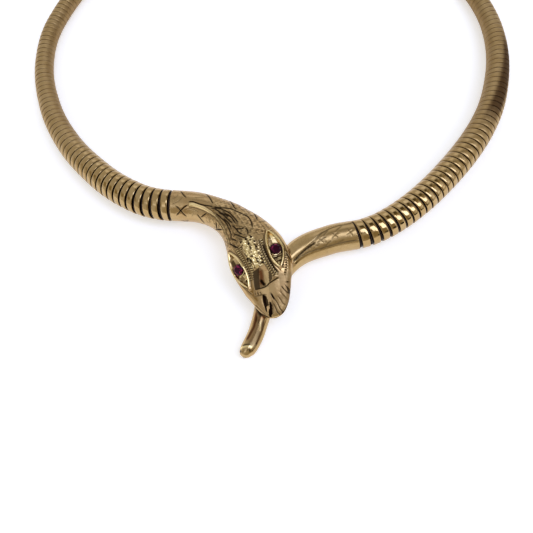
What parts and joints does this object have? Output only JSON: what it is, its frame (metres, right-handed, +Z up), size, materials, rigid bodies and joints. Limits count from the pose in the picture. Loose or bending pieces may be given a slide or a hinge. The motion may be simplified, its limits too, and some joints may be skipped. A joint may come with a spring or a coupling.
{
  "type": "snake collar necklace",
  "caption": "Gas-pipe collar necklace in gold whose head end is an engraved snake's head with stone eyes, resting over its tapered tail.",
  "frame": {"origin": "middle of the footprint on the surface that the collar lies on", "axes": "+Z up, -Y towards the snout and tail tip, +X to the snake's left"},
  "size_m": [0.1384, 0.161, 0.0116],
  "materials": {
    "band_gold": "polished, fine wear lines round each band",
    "inner_strip_gold": "darkened by tarnish in the gaps",
    "head_gold": "polished and engraved",
    "tail_gold": "polished",
    "catch_gold": "plain satin",
    "purple_red_stone": "faceted"
  },
  "bodies": {
    "root": {"gas_pipe_bands": "band_gold", "gas_pipe_core": "inner_strip_gold", "head": "head_gold", "stone_left": "purple_red_stone", "stone_right": "purple_red_stone", "tail": "tail_gold", "tail_catch": "catch_gold"}
  },
  "joints": []
}
